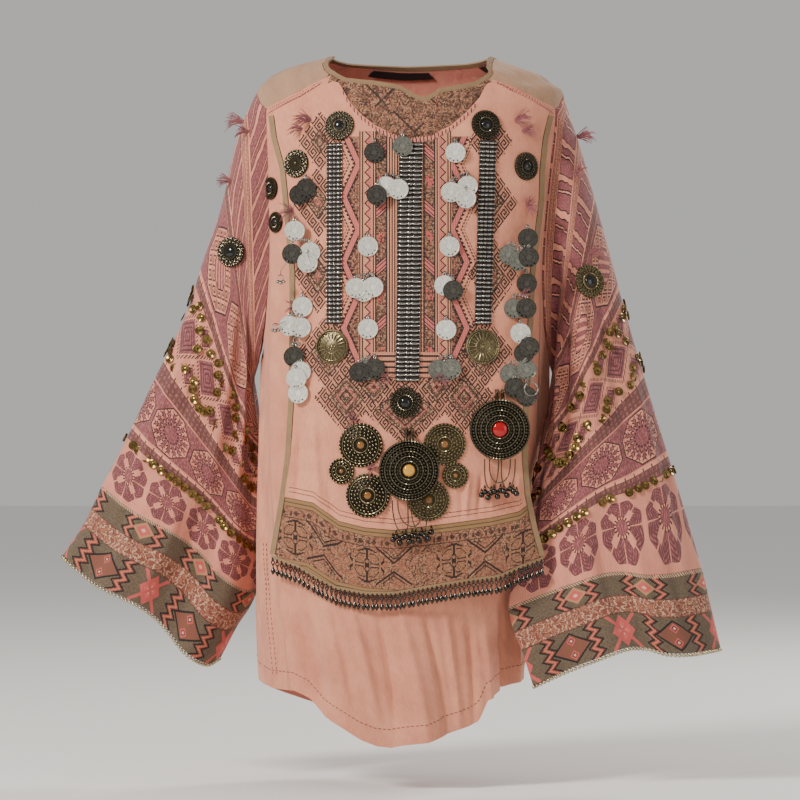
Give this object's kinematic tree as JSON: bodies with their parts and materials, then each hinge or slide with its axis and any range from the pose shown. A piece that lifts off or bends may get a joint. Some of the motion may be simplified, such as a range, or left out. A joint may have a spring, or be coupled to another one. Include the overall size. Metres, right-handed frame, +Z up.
{
  "type": "embroidered tunic with wide sleeves, filled out as worn",
  "caption": "Hip-length pink cotton tunic with wide embroidered sleeves, a stitched front apron, hanging coins, pendants and a bell fringe.",
  "frame": {"origin": "between the shoulders, level with the shoulder seams' middle, where a wearer carries the garment", "axes": "+Z up, the front faces -Y, the wearer's left arm is at +X"},
  "size_m": [0.7753, 0.2486, 0.8088],
  "materials": {
    "pink_cotton": "soft plain cotton, slightly crumpled",
    "taupe_cotton": "soft plain cotton",
    "khaki_binding": "folded twill tape",
    "brown_jacquard": "dense patterned weave",
    "black_label": "plain woven satin",
    "embroidered_cotton": "cotton with dense satin and cross stitch",
    "rust_brocade": "swirled brocade ribbon",
    "khaki_jacquard": "zigzag woven ribbon",
    "silver_metal": "worn silver-coloured metal",
    "brass_metal": "aged stamped brass",
    "bronze_metal": "dark antique filigree"
  },
  "bodies": {
    "tunic": {"front": "pink_cotton", "back": "pink_cotton", "yoke_right": "taupe_cotton", "yoke_left": "taupe_cotton", "neck_binding": "khaki_binding", "neck_inset": "brown_jacquard", "neck_label": "black_label", "size_tab": "black_label", "apron": "embroidered_cotton", "apron_border": "brown_jacquard", "apron_binding_right": "khaki_binding", "apron_binding_left": "khaki_binding", "sleeve_right": "embroidered_cotton", "cuff_upper_right": "khaki_jacquard", "cuff_brocade_right": "rust_brocade", "cuff_lower_right": "khaki_jacquard", "sleeve_left": "embroidered_cotton", "cuff_upper_left": "khaki_jacquard", "cuff_brocade_left": "rust_brocade", "cuff_lower_left": "khaki_jacquard", "bar_strip_1": "silver_metal", "bar_strip_2": "silver_metal", "bar_strip_3": "silver_metal", "apron_boss_1": "bronze_metal", "apron_boss_2": "bronze_metal", "apron_boss_3": "bronze_metal", "apron_boss_4": "bronze_metal", "apron_boss_5": "bronze_metal", "brass_disc_1": "brass_metal", "brass_disc_2": "brass_metal", "low_disc_1": "brass_metal", "low_disc_2": "brass_metal", "low_disc_3": "brass_metal", "low_disc_4": "brass_metal", "sleeve_boss_1": "bronze_metal", "sleeve_boss_2": "bronze_metal", "bell_fringe": "bronze_metal"},
    "pendant_1": {"pendant_1": "bronze_metal"},
    "pendant_2": {"pendant_2": "bronze_metal"},
    "coin_drop_01": {"coin_drop_01": "silver_metal"},
    "coin_drop_02": {"coin_drop_02": "silver_metal"},
    "coin_drop_03": {"coin_drop_03": "silver_metal"},
    "coin_drop_04": {"coin_drop_04": "silver_metal"},
    "coin_drop_05": {"coin_drop_05": "silver_metal"},
    "coin_drop_06": {"coin_drop_06": "silver_metal"},
    "coin_drop_07": {"coin_drop_07": "silver_metal"},
    "coin_drop_08": {"coin_drop_08": "silver_metal"},
    "coin_drop_09": {"coin_drop_09": "silver_metal"},
    "coin_drop_10": {"coin_drop_10": "silver_metal"},
    "coin_drop_11": {"coin_drop_11": "silver_metal"},
    "coin_drop_12": {"coin_drop_12": "silver_metal"},
    "coin_drop_13": {"coin_drop_13": "silver_metal"},
    "coin_drop_14": {"coin_drop_14": "silver_metal"},
    "coin_drop_15": {"coin_drop_15": "silver_metal"},
    "coin_drop_16": {"coin_drop_16": "silver_metal"},
    "coin_drop_17": {"coin_drop_17": "silver_metal"},
    "coin_drop_18": {"coin_drop_18": "silver_metal"},
    "coin_drop_19": {"coin_drop_19": "silver_metal"},
    "coin_drop_20": {"coin_drop_20": "silver_metal"},
    "coin_drop_21": {"coin_drop_21": "silver_metal"}
  },
  "joints": [
    {"name": "pendant_1_swing", "type": "hinge", "parent": "tunic", "child": "pendant_1", "pos_m": [0.0023, -0.12773, -0.411], "axis": [-1, 0, 0], "range_deg": [0, 40]},
    {"name": "pendant_2_swing", "type": "hinge", "parent": "tunic", "child": "pendant_2", "pos_m": [0.107, -0.11442, -0.366], "axis": [-1, 0, 0], "range_deg": [0, 40]},
    {"name": "coin_drop_01_swing", "type": "hinge", "parent": "tunic", "child": "coin_drop_01", "pos_m": [-0.005, -0.10342, -0.0682], "axis": [-1, 0, 0], "range_deg": [0, 45]},
    {"name": "coin_drop_02_swing", "type": "hinge", "parent": "tunic", "child": "coin_drop_02", "pos_m": [-0.038, -0.10222, -0.0752], "axis": [-1, 0, 0], "range_deg": [0, 45]},
    {"name": "coin_drop_03_swing", "type": "hinge", "parent": "tunic", "child": "coin_drop_03", "pos_m": [-0.024, -0.11014, -0.1152], "axis": [-1, 0, 0], "range_deg": [0, 45]},
    {"name": "coin_drop_04_swing", "type": "hinge", "parent": "tunic", "child": "coin_drop_04", "pos_m": [-0.045, -0.11582, -0.1842], "axis": [-1, 0, 0], "range_deg": [0, 45]},
    {"name": "coin_drop_05_swing", "type": "hinge", "parent": "tunic", "child": "coin_drop_05", "pos_m": [-0.039, -0.11997, -0.2312], "axis": [-1, 0, 0], "range_deg": [0, 45]},
    {"name": "coin_drop_06_swing", "type": "hinge", "parent": "tunic", "child": "coin_drop_06", "pos_m": [-0.045, -0.12118, -0.2792], "axis": [-1, 0, 0], "range_deg": [0, 45]},
    {"name": "coin_drop_07_swing", "type": "hinge", "parent": "tunic", "child": "coin_drop_07", "pos_m": [-0.037, -0.12359, -0.3252], "axis": [-1, 0, 0], "range_deg": [0, 45]},
    {"name": "coin_drop_08_swing", "type": "hinge", "parent": "tunic", "child": "coin_drop_08", "pos_m": [0.056, -0.10069, -0.0752], "axis": [-1, 0, 0], "range_deg": [0, 45]},
    {"name": "coin_drop_09_swing", "type": "hinge", "parent": "tunic", "child": "coin_drop_09", "pos_m": [0.07, -0.10317, -0.1142], "axis": [-1, 0, 0], "range_deg": [0, 45]},
    {"name": "coin_drop_10_swing", "type": "hinge", "parent": "tunic", "child": "coin_drop_10", "pos_m": [0.049, -0.11516, -0.1842], "axis": [-1, 0, 0], "range_deg": [0, 45]},
    {"name": "coin_drop_11_swing", "type": "hinge", "parent": "tunic", "child": "coin_drop_11", "pos_m": [0.043, -0.11925, -0.2292], "axis": [-1, 0, 0], "range_deg": [0, 45]},
    {"name": "coin_drop_12_swing", "type": "hinge", "parent": "tunic", "child": "coin_drop_12", "pos_m": [0.045, -0.12144, -0.2802], "axis": [-1, 0, 0], "range_deg": [0, 45]},
    {"name": "coin_drop_13_swing", "type": "hinge", "parent": "tunic", "child": "coin_drop_13", "pos_m": [0.051, -0.1223, -0.3252], "axis": [-1, 0, 0], "range_deg": [0, 45]},
    {"name": "coin_drop_14_swing", "type": "hinge", "parent": "tunic", "child": "coin_drop_14", "pos_m": [-0.117, -0.08406, -0.1162], "axis": [-1, 0, 0], "range_deg": [0, 45]},
    {"name": "coin_drop_15_swing", "type": "hinge", "parent": "tunic", "child": "coin_drop_15", "pos_m": [-0.13, -0.08158, -0.1652], "axis": [-1, 0, 0], "range_deg": [0, 45]},
    {"name": "coin_drop_16_swing", "type": "hinge", "parent": "tunic", "child": "coin_drop_16", "pos_m": [-0.121, -0.09509, -0.2532], "axis": [-1, 0, 0], "range_deg": [0, 45]},
    {"name": "coin_drop_17_swing", "type": "hinge", "parent": "tunic", "child": "coin_drop_17", "pos_m": [-0.131, -0.09405, -0.3112], "axis": [-1, 0, 0], "range_deg": [0, 45]},
    {"name": "coin_drop_18_swing", "type": "hinge", "parent": "tunic", "child": "coin_drop_18", "pos_m": [0.14, -0.07659, -0.1742], "axis": [-1, 0, 0], "range_deg": [0, 45]},
    {"name": "coin_drop_19_swing", "type": "hinge", "parent": "tunic", "child": "coin_drop_19", "pos_m": [0.139, -0.08365, -0.2262], "axis": [-1, 0, 0], "range_deg": [0, 45]},
    {"name": "coin_drop_20_swing", "type": "hinge", "parent": "tunic", "child": "coin_drop_20", "pos_m": [0.124, -0.09636, -0.2552], "axis": [-1, 0, 0], "range_deg": [0, 45]},
    {"name": "coin_drop_21_swing", "type": "hinge", "parent": "tunic", "child": "coin_drop_21", "pos_m": [0.131, -0.09642, -0.2842], "axis": [-1, 0, 0], "range_deg": [0, 45]}
  ]
}
